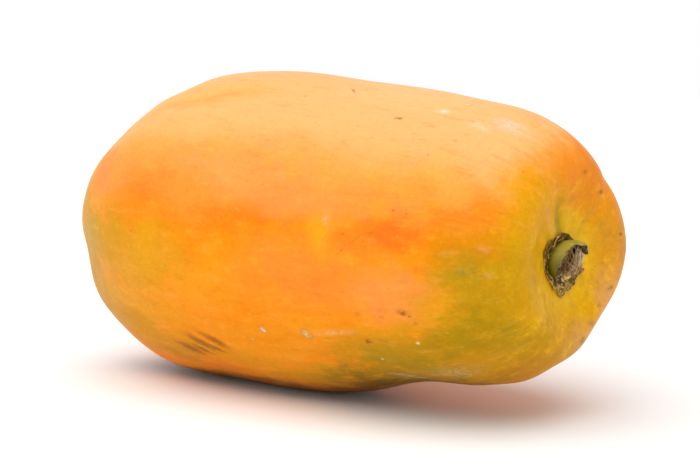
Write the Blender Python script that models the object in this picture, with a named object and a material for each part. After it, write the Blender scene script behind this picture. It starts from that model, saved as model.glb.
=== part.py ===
# A ripe papaya lying on its side: the whole fruit, the torn stub of its stem and the dry calyx round it.
# Metres, +Z up. The fruit's length runs along X, the stem end is at +X, and it rests on a flat at Z = 0.

import math

import bmesh
import bpy
import numpy as np
from mathutils import Matrix, Vector
from mathutils.geometry import interpolate_bezier

# Fruit body
LENGTH = 0.250  # from the blossom tip to the rim round the stem
STATIONS = (  # (share of the length from the middle, radius), from the rim at the stem to the blossom tip
    (0.495, 0.0340),
    (0.466, 0.0442),
    (0.380, 0.0557),
    (0.250, 0.0615),
    (0.080, 0.0663),
    (-0.100, 0.0698),
    (-0.270, 0.0666),
    (-0.400, 0.0525),
    (-0.475, 0.0340),
    (-0.500, 0.0000),
)
SEAT_SHARE = 0.474  # the flat scar at the bottom of the navel, where the stem grows out
SEAT_RADIUS = 0.0145
SEAT_DROP = 0.0042  # the scar sits this much below the middle of the stem end
SEAT_DROP_REACH = 0.034
CROWN = 0.0007  # how far the ends droop below the middle of the fruit
BLOSSOM_DROOP = 0.0025  # the blossom end droops this much more, and the stem end as much less
RING_COUNT = 60
SEGMENT_COUNT = 64
ENDS_DENSER = 0.5  # rings stand this share closer at the ends than they would evenly spaced
FLAT_DEPTH = 0.0026  # how much of the round underside the resting flat takes off
CURVE_STEPS = 24  # points along each stretch of the side outline

# Shallow grooves between the five broad lobes. Degrees round the fruit go from the front (-Y) over the top.
GROOVES = (  # degrees at the stem and blossom ends, half-width, depth at stem, middle and blossom
    (71, 58, 17, 0.032, 0.013, 0.046),
    (136, 130, 17, 0.060, 0.012, 0.040),
    (190, 192, 20, 0.010, 0.012, 0.040),
    (232, 240, 22, 0.110, 0.018, 0.035),
    (302, 350, 18, 0.027, 0.004, 0.073),
)
END_REACH = 0.35  # share of the length over which a groove fades away from its end
MIDDLE_REACH = 0.28  # and away from the middle; the depths above are shares of the radius
# Hollows pressed into the side: X, degrees round, depth, reach along X, half-width in degrees.
DENTS = (
    (0.063, 264, 0.0078, 0.025, 32),
    (-0.032, 296, 0.0024, 0.027, 16),
)

# Stem stub, a hollow peduncle torn off on a slant
STEM_RADIUS = 0.0076
STEM_FOOT_RADIUS = 0.0084  # it flares where it leaves the fruit
STEM_FLARE_LENGTH = 0.0022
STEM_TOP_LENGTH = 0.0110  # measured along its upper side
STEM_LOW_LENGTH = 0.0050  # measured along its lower side
STEM_SEGMENTS = 36
STEM_RIM_SHARE = 0.97  # the torn rim is a little narrower than the stub
HOLLOW_RADIUS = 0.0044
HOLLOW_FLOOR_SHARE = 0.9  # the hollow narrows downwards
HOLLOW_DEPTH = 0.0032

# Calyx, five dry pointed sepals grown together in a collar
SEPAL_COUNT = 5
SEPAL_TURN = 54  # degrees by which the first sepal is turned from the front
COLLAR_INNER = 0.0088
COLLAR_OUTER = 0.0106
SEPAL_TIP = 0.0138
COLLAR_THICKNESS = 0.0012
COLLAR_SEGMENTS = 60

GAP = 0.0003  # left between pieces that touch
SHARP_ANGLE = 40  # degrees; sharper edges stay crisp under smooth shading


def emptyScene():
    for old in list(bpy.data.objects):
        bpy.data.objects.remove(old, do_unlink=True)


def plainMaterial(name, color, roughness):
    material = bpy.data.materials.new(name)
    material.use_nodes = True
    shader = material.node_tree.nodes["Principled BSDF"]
    shader.inputs["Base Color"].default_value = (*color, 1.0)
    shader.inputs["Roughness"].default_value = roughness
    shader.inputs["Metallic"].default_value = 0.0
    return material


def addObject(name, bm, material):
    mesh = bpy.data.meshes.new(name)
    bm.normal_update()
    bmesh.ops.recalc_face_normals(bm, faces=bm.faces)
    bm.to_mesh(mesh)
    bm.free()
    mesh.materials.append(material)
    mesh.shade_smooth()
    mesh.set_sharp_from_angle(angle=math.radians(SHARP_ANGLE))
    made = bpy.data.objects.new(name, mesh)
    bpy.context.collection.objects.link(made)
    return made


def meridian():
    # The side outline as (x, radius) points: out across the stem scar, over the rim, along to the tip
    scar = Vector((SEAT_SHARE * LENGTH, SEAT_RADIUS))
    knots = [scar] + [Vector((share * LENGTH, radius)) for share, radius in STATIONS]
    tangents = [Vector((0, 1))]
    tangents += [(after - before).normalized() for before, after in zip(knots, knots[2:])]
    tangents += [Vector((0, -1))]
    outline = [Vector((SEAT_SHARE * LENGTH, 0))]
    for start, end, leaving, arriving in zip(knots, knots[1:], tangents, tangents[1:]):
        reach = (end - start).length / 3
        handles = (start + leaving * reach, end - arriving * reach)
        outline += interpolate_bezier(start, *handles, end, CURVE_STEPS)
    return np.array(outline)


def bump(distance, reach):
    return np.exp(-((distance / reach) ** 2))


def angleFrom(around, middle):
    return (around - middle + 180) % 360 - 180


def spineHeight(along):
    # Height of the fruit's curved centre line, before it is set down on its flat
    side = 2 * along / LENGTH
    return -CROWN * side**2 + BLOSSOM_DROOP * side**3


def fruitPoints(share, around):
    # share runs from 0 at the stem scar to 1 at the blossom tip, around is in degrees
    outline = meridian()
    steps = np.linalg.norm(np.diff(outline, axis=0), axis=1)
    travelled = np.concatenate(([0], np.cumsum(steps)))
    share = share - ENDS_DENSER * np.sin(2 * math.pi * share) / (2 * math.pi)
    along = np.interp(share * travelled[-1], travelled, outline[:, 0])
    radius = np.interp(share * travelled[-1], travelled, outline[:, 1])

    place = along / LENGTH + 0.5  # 0 at the blossom end, 1 at the stem end
    scale = np.ones_like(along)
    for atStem, atBlossom, width, stemDepth, middleDepth, blossomDepth in GROOVES:
        depth = stemDepth * bump(place - 1, END_REACH)
        depth += middleDepth * bump(place - 0.5, MIDDLE_REACH)
        depth += blossomDepth * bump(place, END_REACH)
        middle = atBlossom + (atStem - atBlossom) * place
        scale -= depth * bump(angleFrom(around, middle), width)
    radius = radius * scale
    for x, middle, depth, reach, width in DENTS:
        radius = radius - depth * bump(along - x, reach) * bump(angleFrom(around, middle), width)

    angle = np.radians(around)
    across = -radius * np.cos(angle)
    height = radius * np.sin(angle) + spineHeight(along)
    height -= SEAT_DROP * bump(radius, SEAT_DROP_REACH) * (place > 0.5)
    return np.stack((along, across, height), axis=-1)


def addFruit():
    bm = bmesh.new()
    bmesh.ops.create_uvsphere(bm, u_segments=SEGMENT_COUNT, v_segments=RING_COUNT, radius=1)
    corners = np.array([vertex.co for vertex in bm.verts])
    share = np.arccos(np.clip(corners[:, 2], -1, 1)) / math.pi
    around = np.degrees(np.arctan2(corners[:, 1], corners[:, 0]))
    placed = fruitPoints(share, around)
    floor = placed[:, 2].min() + FLAT_DEPTH
    placed[:, 2] = np.maximum(placed[:, 2] - floor, 0)
    for vertex, position in zip(bm.verts, placed):
        vertex.co = position
    addObject("fruit", bm, plainMaterial("papaya skin", (0.95, 0.36, 0.03), 0.42))
    return floor


def addStem(centre):
    # Its axis lies along X. Rings of a turned profile, then the torn end is slanted and hollowed.
    bm = bmesh.new()
    profile = (
        (0.0, STEM_FOOT_RADIUS),
        (STEM_FLARE_LENGTH, STEM_RADIUS),
        (STEM_TOP_LENGTH, STEM_RADIUS * STEM_RIM_SHARE),
        (STEM_TOP_LENGTH, HOLLOW_RADIUS),
        (STEM_TOP_LENGTH - HOLLOW_DEPTH, HOLLOW_RADIUS * HOLLOW_FLOOR_SHARE),
    )
    rings = []
    for distance, radius in profile:
        ring = bmesh.ops.create_circle(bm, segments=STEM_SEGMENTS, radius=radius)["verts"]
        bmesh.ops.translate(bm, verts=ring, vec=(0, 0, distance))
        rings.append(ring)
    loops = [[edge for edge in bm.edges if edge.verts[0] in ring] for ring in rings]
    for lower, upper in zip(loops, loops[1:]):
        bmesh.ops.bridge_loops(bm, edges=lower + upper)
    bm.faces.new(rings[0])
    bm.faces.new(rings[-1])
    # The tear falls from the top side to the low side, evenly with height.
    slope = (STEM_TOP_LENGTH - STEM_LOW_LENGTH) / (2 * STEM_RADIUS)
    for vertex in sum(rings[2:], []):
        vertex.co.z -= slope * (STEM_RADIUS - vertex.co.y)
    layAlongX = Matrix(((0, 0, 1), (-1, 0, 0), (0, 1, 0))).to_4x4()
    bmesh.ops.transform(bm, matrix=Matrix.Translation(centre) @ layAlongX, verts=bm.verts)
    addObject("stem_stub", bm, plainMaterial("green stem", (0.30, 0.32, 0.05), 0.5))


def sepalRadius(around):
    # A collar drawn out into points: flat between the sepals, pointed at their tips
    turn = (around - SEPAL_TURN) * SEPAL_COUNT / 360
    fromTip = abs(turn - round(turn)) * 2
    return COLLAR_OUTER + (SEPAL_TIP - COLLAR_OUTER) * (1 - fromTip) ** 2


def addCalyx(centre):
    bm = bmesh.new()
    rows = []
    for height in (0, COLLAR_THICKNESS):
        for inside in (True, False):
            row = []
            for step in range(COLLAR_SEGMENTS):
                around = 360 * step / COLLAR_SEGMENTS
                radius = COLLAR_INNER if inside else sepalRadius(around)
                angle = math.radians(around)
                place = centre + Vector((height, -radius * math.cos(angle), radius * math.sin(angle)))
                row.append(bm.verts.new(place))
            rows.append(row)
    lowInner, lowOuter, highInner, highOuter = rows
    roundTheWall = (lowInner, lowOuter, highOuter, highInner, lowInner)
    for first, second in zip(roundTheWall, roundTheWall[1:]):
        for step in range(COLLAR_SEGMENTS):
            after = (step + 1) % COLLAR_SEGMENTS
            bm.faces.new((first[step], first[after], second[after], second[step]))
    addObject("calyx", bm, plainMaterial("dry calyx", (0.16, 0.09, 0.05), 0.85))


def centreOverOrigin():
    # The middle of everything's box goes over the origin; the resting flat is at Z = 0 already.
    made = [item for item in bpy.data.objects if item.type == "MESH"]
    corners = np.array([vertex.co for item in made for vertex in item.data.vertices])
    middle = (corners.min(axis=0) + corners.max(axis=0)) / 2
    for item in made:
        item.data.transform(Matrix.Translation((-middle[0], -middle[1], 0)))


def main():
    emptyScene()
    floor = addFruit()
    scarX = SEAT_SHARE * LENGTH
    scar = Vector((scarX + GAP, 0, spineHeight(scarX) - SEAT_DROP - floor))
    addStem(scar)
    addCalyx(scar)
    centreOverOrigin()


main()
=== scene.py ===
from math import cos, hypot, pi, radians, sin

import bpy
import numpy as np
from mathutils import Matrix, Vector, noise


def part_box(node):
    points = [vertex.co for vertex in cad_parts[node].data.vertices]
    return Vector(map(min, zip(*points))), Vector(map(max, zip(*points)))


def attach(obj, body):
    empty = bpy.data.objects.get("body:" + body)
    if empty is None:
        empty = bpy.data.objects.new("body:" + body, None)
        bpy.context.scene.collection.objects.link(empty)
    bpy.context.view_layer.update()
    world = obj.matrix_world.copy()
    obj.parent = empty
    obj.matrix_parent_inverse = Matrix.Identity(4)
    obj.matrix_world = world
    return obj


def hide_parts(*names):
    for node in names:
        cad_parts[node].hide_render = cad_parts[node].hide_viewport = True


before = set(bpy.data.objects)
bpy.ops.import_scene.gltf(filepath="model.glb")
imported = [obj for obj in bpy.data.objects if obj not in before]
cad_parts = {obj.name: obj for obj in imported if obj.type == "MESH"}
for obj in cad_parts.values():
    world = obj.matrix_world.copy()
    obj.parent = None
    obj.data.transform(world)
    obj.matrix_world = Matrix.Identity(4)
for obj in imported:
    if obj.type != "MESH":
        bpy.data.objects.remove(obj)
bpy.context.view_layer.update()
mm = 0.001


def say(stage):
    print("papaya:", stage)


def clearSelection():
    bpy.ops.object.select_all(action="DESELECT")


def addToScene(item):
    bpy.context.scene.collection.objects.link(item)


def pick(item):
    clearSelection()
    item.select_set(True)
    bpy.context.view_layer.objects.active = item


def editAll():
    bpy.ops.object.mode_set(mode="EDIT")
    bpy.ops.mesh.select_all(action="SELECT")


def leaveEdit():
    bpy.ops.object.mode_set(mode="OBJECT")


def modify(item, kind, **settings):
    # adds a modifier, sets it up and applies it
    pick(item)
    made = item.modifiers.new(kind, kind)
    for name, value in settings.items():
        setattr(made, name, value)
    bpy.ops.object.modifier_apply(modifier=made.name)


def freeze(item, name):
    # names a finished piece and puts its place into its mesh
    pick(item)
    bpy.ops.object.transform_apply()
    item.name = name
    item.data.name = name
    bpy.ops.object.shade_smooth()
    return item


def cornersOf(item, field="co"):
    # the corners' places, or their normals
    values = np.zeros(len(item.data.vertices) * 3)
    item.data.vertices.foreach_get(field, values)
    return values.reshape(-1, 3)


def putCorners(item, places):
    item.data.vertices.foreach_set("co", np.ascontiguousarray(places).ravel())
    item.data.update()


def bump(distance, reach):
    return np.exp(-((distance / reach) ** 2))


def ease(value, low, high):
    share = np.clip((value - low) / (high - low), 0, 1)
    return share * share * (3 - 2 * share)


def turnFrom(degrees, middle):
    return (degrees - middle + 180) % 360 - 180


def lumps(places, size, seed=0.0):
    # soft noise between -1 and 1 whose lumps are about size metres across
    offset = Vector((seed * 7.31, seed * 3.17, seed * 5.73))
    return np.array([noise.noise(Vector(place) / size + offset) for place in places])


seatLow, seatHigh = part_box("stem_stub")
seat = Vector((seatLow.x, (seatLow.y + seatHigh.y) / 2, (seatLow.z + seatHigh.z) / 2))
stemMiddle = seat + Vector((0, -0.9, 0.4)) * mm  # the stub leans a little off the middle of its scar
blossomTip = (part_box("fruit")[0].x, 0.0006, 0.0637)
axisHeight = 0.067  # middle of the fruit above the floor, in metres
flankRadius = 66  # mm from there to the flank
tipSpan = 0.042  # light and dark sides run together nearer the middle line than this


def outwards(degrees):
    # the way out from the middle line at that many degrees round the fruit
    angle = radians(degrees)
    return Vector((0, -cos(angle), sin(angle)))


def aroundOf(places):
    # degrees round the fruit: 0 at the front, 90 on top, 180 at the back
    return np.degrees(np.arctan2(places[:, 2] - axisHeight, -places[:, 1]))


fruitShape = {
    "segments": 320,
    "rings": 300,
    "coreX": 0.020,  # rings stand closer at the end that is nearer to this point
    "coreRadius": 0.030,
    # folds: degrees round the stem, half-width, depth, from and to this far out, swing in degrees
    "folds": (
        (74, 3.2, 1.10, 10, 44, -4), (51, 1.5, -0.42, 13, 36, 9), (42, 3.0, 0.50, 12, 34, 6),
        (139, 3.4, 0.85, 13, 52, -12), (104, 3.0, 0.22, 11, 30, 6), (18, 1.8, 0.36, 11, 27, 3),
        (2, 1.7, 0.30, 12, 26, -4), (-14, 2.0, 0.36, 11, 30, -6), (-44, 4.0, 0.20, 12, 38, 0),
        (-80, 4.0, 0.18, 12, 36, 5), (-112, 3.4, 0.40, 12, 40, -5), (178, 3.0, 0.40, 12, 42, 6),
        (-152, 3.0, 0.35, 12, 40, 3),
    ),
    # long soft grooves on the flanks: from (x, degrees) to (x, degrees), half-width, depth
    "grooves": (
        ((-76, 53), (2, 73), 5.0, 0.55),
        ((20, -27), (66, -32), 2.6, -0.22),
    ),
    # soft swellings and hollows of the outline: place in mm, how far each reaches, height
    "swells": (
        (120, 38, 66, 14, 1.4), (110, 31, 96, 12, 0.3), (91, -7, 13, 9, -0.9), (110, 6, 21, 8, -0.8),
        (72, -17, 14, 14, -0.5), (-75, -11, 129, 10, -1.4), (-97, -37, 104, 11, -0.6),
        (-106, -38, 35, 14, 0.9), (-110, -45, 66, 9, 0.4), (-75, -28, 8, 12, 0.6),
        (12, 8, 133, 22, -0.45), (75, 8, 126, 16, -0.45), (119.5, -21, 47, 9, 0.45),
    ),
    "collarSwell": 0.5,  # yellow cushion close round the calyx
    "footFill": 0.55,  # rounds off the foot of the slope that runs up from the scar
}


def wrapOnFruit(item):
    # shrinks a small sphere's faces outwards onto a smooth copy of the solid fruit
    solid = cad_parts["fruit"]
    smooth = bpy.data.objects.new("smooth fruit", solid.data.copy())
    addToScene(smooth)
    pick(smooth)
    editAll()
    bpy.ops.mesh.remove_doubles(threshold=0.00002)
    bpy.ops.mesh.tris_convert_to_quads()
    leaveEdit()
    modify(smooth, "SUBSURF", levels=2, render_levels=2)
    ways = {"use_positive_direction": True, "use_negative_direction": False}
    modify(item, "SHRINKWRAP", target=smooth, wrap_method="PROJECT", **ways)
    bpy.data.objects.remove(smooth, do_unlink=True)


def foldsRoundStem(places):
    # height in mm to add along the surface
    across = (places[:, 1] - seat.y) / mm
    up = (places[:, 2] - seat.z) / mm
    out = np.hypot(across, up)
    turn = np.degrees(np.arctan2(up, -across))
    onStemHalf = ease(places[:, 0] / mm, 78, 100)
    height = np.zeros(len(places))
    for degrees, width, depth, near, far, swing in fruitShape["folds"]:
        share = (out - near) / (far - near)
        aside = out * np.radians(turnFrom(turn, degrees + swing * share))
        reach = ease(out, near - 2, near + 5) * (1 - ease(out, far * 0.62, far))
        height -= depth * bump(aside, width * (0.8 + 0.5 * np.clip(share, 0, 1))) * reach
    towardsFront = bump(turnFrom(turn, -15), 55)
    height += fruitShape["collarSwell"] * bump(out - 14.5, 4.0) * (1 - 0.8 * towardsFront)
    height += fruitShape["footFill"] * bump(out - 18.5, 4.5) * (0.25 + 0.75 * towardsFront)
    return height * onStemHalf


def groovesOnFlank(places):
    around = aroundOf(places)
    height = np.zeros(len(places))
    for (startX, startTurn), (endX, endTurn), width, depth in fruitShape["grooves"]:
        share = (places[:, 0] / mm - startX) / (endX - startX)
        aside = np.radians(turnFrom(around, startTurn + (endTurn - startTurn) * share)) * flankRadius
        ends = ease(share, -0.12, 0.2) * (1 - ease(share, 0.75, 1.12))
        height -= depth * bump(aside, width) * ends
    return height


def swellsOnOutline(places):
    height = np.zeros(len(places))
    for x, y, z, reach, rise in fruitShape["swells"]:
        away = np.linalg.norm(places / mm - np.array((x, y, z)), axis=1)
        height += rise * bump(away, reach)
    return height


def makeFruit():
    clearSelection()
    bpy.ops.mesh.primitive_uv_sphere_add(
        segments=fruitShape["segments"],
        ring_count=fruitShape["rings"],
        radius=fruitShape["coreRadius"],
        location=(fruitShape["coreX"], 0, axisHeight),
        rotation=(0, radians(90), 0),  # poles on the fruit's length
    )
    fruit = bpy.context.object
    bpy.ops.object.transform_apply()
    wrapOnFruit(fruit)
    modify(fruit, "SMOOTH", factor=0.5, iterations=3)

    places = cornersOf(fruit)
    height = foldsRoundStem(places) + groovesOnFlank(places) + swellsOnOutline(places)
    height += 0.28 * lumps(places, 0.030, 1) + 0.07 * lumps(places, 0.009, 2)
    fromTip = np.linalg.norm(places - np.array(blossomTip), axis=1) / mm
    height -= 0.9 * bump(fromTip, 4.2) + 0.1 * bump(fromTip, 14)
    height *= ease(places[:, 2], 0.0003, 0.004)  # the resting flat stays flat
    places += cornersOf(fruit, "normal") * height[:, None] * mm
    places[:, 2] = np.maximum(places[:, 2], 0)
    putCorners(fruit, places)
    fruit.data.uv_layers[0].name = "OFBake"
    return freeze(fruit, "papaya_skin")


def sideways(radius, degrees):
    # mm that the stub and its calyx swell towards the front
    share = np.minimum(radius / stemShape["radius"], 1)
    return stemShape["wider"] * bump(turnFrom(degrees, 0), 60) * share


def atStem(height, radius, degrees):
    # places from mm above the scar, mm from the stem's middle and degrees round it
    angle = np.radians(degrees)
    along = seat.x + height * mm
    across = stemMiddle.y - (radius * np.cos(angle) + sideways(radius, degrees)) * mm
    up = stemMiddle.z + radius * np.sin(angle) * mm
    return np.stack(np.broadcast_arrays(along, across, up), axis=-1)


def addTube(columns, rings):
    # a round tube of plain rings, 1 mm apart along X
    clearSelection()
    bpy.ops.mesh.primitive_circle_add(vertices=columns, radius=0.01, rotation=(0, radians(90), 0))
    tube = bpy.context.object
    bpy.ops.object.transform_apply()
    editAll()
    for _ in range(rings - 1):
        bpy.ops.mesh.extrude_region_move(TRANSFORM_OT_translate={"value": (0.001, 0, 0)})
    leaveEdit()
    places = cornersOf(tube)
    ring = np.round(places[:, 0] / 0.001).astype(int)
    around = np.degrees(np.arctan2(places[:, 2], -places[:, 1]))
    return tube, ring, around


def closeEnds(item):
    # fills the open loops of a tube, then turns every face outwards
    pick(item)
    bpy.ops.object.mode_set(mode="EDIT")
    bpy.ops.mesh.select_mode(type="EDGE")
    bpy.ops.mesh.select_all(action="DESELECT")
    bpy.ops.mesh.select_non_manifold()
    bpy.ops.mesh.fill_holes(sides=0)
    bpy.ops.mesh.select_all(action="SELECT")
    bpy.ops.mesh.normals_make_consistent()
    leaveEdit()


def keepValue(item, name, values):
    made = item.data.attributes.new(name, "FLOAT", "POINT")
    made.data.foreach_set("value", np.ascontiguousarray(values, dtype=np.float32))


def copyOf(item):
    # another of the same, with a mesh of its own
    twin = item.copy()
    twin.data = item.data.copy()
    addToScene(twin)
    return twin


def joinAll(items, name):
    clearSelection()
    for item in items:
        item.select_set(True)
    bpy.context.view_layer.objects.active = items[0]
    bpy.ops.object.join()
    return freeze(bpy.context.object, name)


def roundRim(around, size, seed):
    # noise that runs round the stem without a seam
    angle = np.radians(around)
    rim = np.stack((np.cos(angle), np.sin(angle), 0 * angle), axis=-1)
    return lumps(rim, size, seed)


stemShape = {
    "columns": 200,
    "radius": 8.2,
    "flare": 0.7,
    "wider": 1.5,
    "wallWider": 2.0,  # the outside of the green wall swells this much more at its foot
    "swelling": 0.55,
    "wall": 1.3,
    "floor": 0.6,
    "sunk": 0.9,
    # length of the torn wall: degrees round the stem, mm above the scar
    "tornEdge": (
        (-180, 2.6), (-155, 2.0), (-125, 1.5), (-95, 1.0), (-65, 0.7), (-50, 0.9), (-36, 2.9), (-22, 4.3),
        (0, 5.4), (22, 6.5), (36, 6.9), (46, 7.0), (60, 7.5), (74, 8.8), (84, 11.2), (94, 13.2),
        (120, 13.6), (129, 11.6), (137, 7.8), (150, 5.2), (165, 3.6), (180, 2.6),
    ),
    "hookFrom": 7.1,  # the long flap on top curls down past this height
    "hookRadius": 2.5,
}


def curlFlap(height, up, around):
    # bends the flap round a level line under it, then lets it hang straight
    radius = stemShape["hookRadius"]
    pivot = stemShape["radius"] + 0.3 - radius
    past = np.maximum(height - stemShape["hookFrom"], 0)
    past *= ease(around, 44, 72) * (1 - ease(around, 146, 165))
    angle = np.minimum(past / radius, 1.5)
    hanging = past - angle * radius
    arm = up - pivot
    newHeight = height - past + arm * np.sin(angle) + hanging * np.cos(angle)
    newUp = pivot + arm * np.cos(angle) - hanging * np.sin(angle)
    bent = past > 0
    return np.where(bent, newHeight, height), np.where(bent, newUp, up), angle


def makeStemWall():
    # rings run up the outside, over the torn edge and down the inside
    outer, lip, inner = 36, 6, 24
    shape = stemShape
    wall, ring, around = addTube(shape["columns"], outer + lip + inner)
    turns, heights = zip(*shape["tornEdge"])
    torn = np.interp(around, turns, heights)
    torn += (0.40 * roundRim(around, 0.16, 4) + 0.40 * roundRim(around, 0.045, 5)) * ease(torn, 0.4, 3)
    share = np.clip(ring / (outer - 1), 0, 1)
    overLip = np.clip((ring - outer + 1) / lip, 0, 1)
    down = np.clip((ring - outer - lip + 1) / inner, 0, 1)
    height = -shape["sunk"] + share * (torn + shape["sunk"])
    height = np.where(down > 0, torn + (shape["floor"] - torn) * down, height)
    height += 0.22 * np.sin(pi * overLip)

    outside = shape["radius"] + shape["flare"] * np.exp(-(height + shape["sunk"]) / 1.1)
    outside += shape["swelling"] * np.sin(pi * np.clip((height - 0.4) / 7.5, 0, 1))
    outside += 0.08 * np.cos(np.radians(around * 9 + 40 * np.sin(height / 2)))
    thick = shape["wall"] * (1 + 0.35 * roundRim(around, 0.5, 9)) * (1 - 0.35 * ease(height, 4, 10))
    radius = outside - thick * overLip
    radius -= 1.2 * ease(down, 0.5, 0.95) + (radius - 3.0) * ease(down, 0.85, 1.0)

    places = atStem(height, radius, around)
    frayed = 0.42 * lumps(places * (0.35, 1, 1), 0.0011, 6)
    frayed += 0.24 * lumps(places * (0.5, 1, 1), 0.0005, 7)
    smoothSide = 0.09 * lumps(places * (0.4, 1, 1), 0.0020, 8)
    shrivelled = 0.45 * lumps(places * (1, 0.8, 0.8), 0.0013, 10) * ease(height, 8.0, 9.5)
    inside = ease(overLip, 0.1, 0.9)
    nearEdge = ease(torn - height, 1.0, 0.0) * (1 - inside)
    radius += smoothSide + shrivelled
    radius += frayed * np.maximum(inside * (1 - 0.6 * ease(down, 0.8, 1)), nearEdge * 0.3)

    across = -radius * np.cos(np.radians(around)) - sideways(radius, around)
    across -= shape["wallWider"] * bump(turnFrom(around, 0), 55) * ease(height, 7, 2) * (1 - overLip)
    curled, up, angle = curlFlap(height, radius * np.sin(np.radians(around)), around)
    places = np.array(stemMiddle) + np.stack((curled, across, up), axis=-1) * mm
    places[:, 0] = np.minimum(places[:, 0], seatHigh.x - 0.00015)
    putCorners(wall, places)
    keepValue(wall, "inside", inside)
    keepValue(wall, "dried", np.maximum(ease(torn - height, 0.7, 0.1) * 0.8, ease(angle, 0.75, 1.25)))
    closeEnds(wall)
    return freeze(wall, "stem_stub_torn")


pithShape = {
    "columns": 120,
    "rings": 46,
    "radius": 7.9,
    "low": 0.7,
}


def pithHeight(across, up):
    # mm above the scar, higher under the flap and away from the thick green side
    rise = 1.5 * ease(across, -3, 6) + 1.6 * ease(up, -1, 6)
    return pithShape["low"] + rise


def makePith():
    # a ragged plug of torn flesh that fills the hollow
    shape = pithShape
    plug, ring, around = addTube(shape["columns"], shape["rings"])
    sideRings = 6
    inward = np.clip((ring - sideRings) / (shape["rings"] - 1 - sideRings), 0, 1)
    radius = shape["radius"] * (1 - 0.985 * inward)
    across = -radius * np.cos(np.radians(around))
    up = radius * np.sin(np.radians(around))
    top = pithHeight(across, up)
    flat = np.stack((0 * across, across * mm, up * mm), axis=-1)
    stringy = lumps(flat * (1, 1, 0.45), 0.0010, 31) * 0.75 + lumps(flat * (1, 1, 0.5), 0.0005, 32) * 0.45
    holes = bump(lumps(flat, 0.0016, 33) - 0.45, 0.22) * 1.0
    height = np.where(ring <= sideRings, -0.5 + (top + 0.5) * ring / sideRings, top)
    height += (stringy - holes) * ease(ring, 2, 10)
    putCorners(plug, atStem(height, radius, around))
    keepValue(plug, "raised", np.clip(0.5 + 0.5 * stringy - 0.6 * holes, 0, 1))
    closeEnds(plug)
    return freeze(plug, "stem_pith")


fibreShape = {
    "sides": 6,
    "rings": 14,
    # bundles of strands: how many, start (height, across, up), end, spread in mm, thickness, paleness
    "bundles": (
        (9, (5.6, 3.2, 6.6), (2.8, 6.6, -3.0), 0.70, 0.19, 0.95),
        (10, (5.0, 2.0, 6.2), (2.4, 4.6, -2.6), 0.90, 0.15, 0.80),
        (14, (4.0, -2.2, 4.6), (2.6, 3.4, 0.2), 1.40, 0.13, 0.45),
        (14, (3.4, -4.0, 1.5), (2.6, 1.6, -4.4), 1.30, 0.13, 0.35),
        (12, (3.2, 4.8, 1.0), (2.0, 0.4, -5.2), 1.20, 0.14, 0.60),
        (9, (2.8, 6.2, 4.4), (2.2, 7.2, -2.8), 0.80, 0.16, 0.80),
        (12, (3.0, -4.6, -1.0), (1.8, -2.0, -5.6), 1.00, 0.12, 0.25),
        (9, (6.0, 1.0, 6.4), (4.0, 4.4, 3.0), 0.80, 0.14, 0.35),
        (8, (2.6, 6.8, -1.0), (1.8, 3.8, -5.6), 0.80, 0.14, 0.75),
        (12, (3.4, -1.0, -3.0), (3.6, 4.0, 2.4), 1.50, 0.11, 0.65),
        (10, (3.0, 5.0, -3.2), (3.6, -1.4, 1.6), 1.50, 0.10, 0.40),
    ),
}


def makeFibres():
    shape = fibreShape
    chance = np.random.default_rng(12)
    first, ring, around = addTube(shape["sides"], shape["rings"])
    closeEnds(first)
    share = ring / (shape["rings"] - 1)
    strands = []
    for count, start, end, spread, thick, pale in shape["bundles"]:
        for _ in range(count):
            strand = copyOf(first)
            begin = np.array(start) + chance.normal(0, spread * 0.6, 3) * (0.5, 1, 1)
            finish = np.array(end) + chance.normal(0, spread, 3) * (0.4, 1, 1)
            sag = chance.normal(0, 0.5, 3) + (0.6, 0, 0)
            kink = chance.uniform(0.5, 1.4)
            step = share[:, None]
            middle = begin + (finish - begin) * step + sag * 4 * step * (1 - step)
            wave = np.sin(step * 9 * kink + chance.uniform(0, 6, 3)) * 0.16
            middle = middle + wave
            width = thick * chance.uniform(0.6, 1.25) * (1 - 0.75 * share ** 2)
            width *= 0.55 + 0.45 * np.sin(pi * share)
            turn = np.radians(around)
            across = (finish - begin) / np.linalg.norm(finish - begin)
            sideOne = np.cross(across, (0.2, 1.0, 0.1))
            sideOne /= np.linalg.norm(sideOne)
            sideTwo = np.cross(sideOne, across)
            aside = (np.cos(turn)[:, None] * sideOne + np.sin(turn)[:, None] * sideTwo) * width[:, None]
            local = middle + aside
            local[:, 0] = np.clip(local[:, 0], 0.2, 10.6)
            putCorners(strand, np.array(stemMiddle) + local * mm)
            paleness = np.clip(pale + chance.normal(0, 0.18), 0, 1)
            keepValue(strand, "paleness", np.full(len(share), paleness))
            strands.append(strand)
    bpy.data.objects.remove(first, do_unlink=True)
    return joinAll(strands, "stem_fibres")


crumbShape = {
    "count": 160,
    "middle": (1.0, -5.5),  # across and up from the stem's middle
    "spread": (4.6, 1.9),
    "size": 0.46,
}


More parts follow.
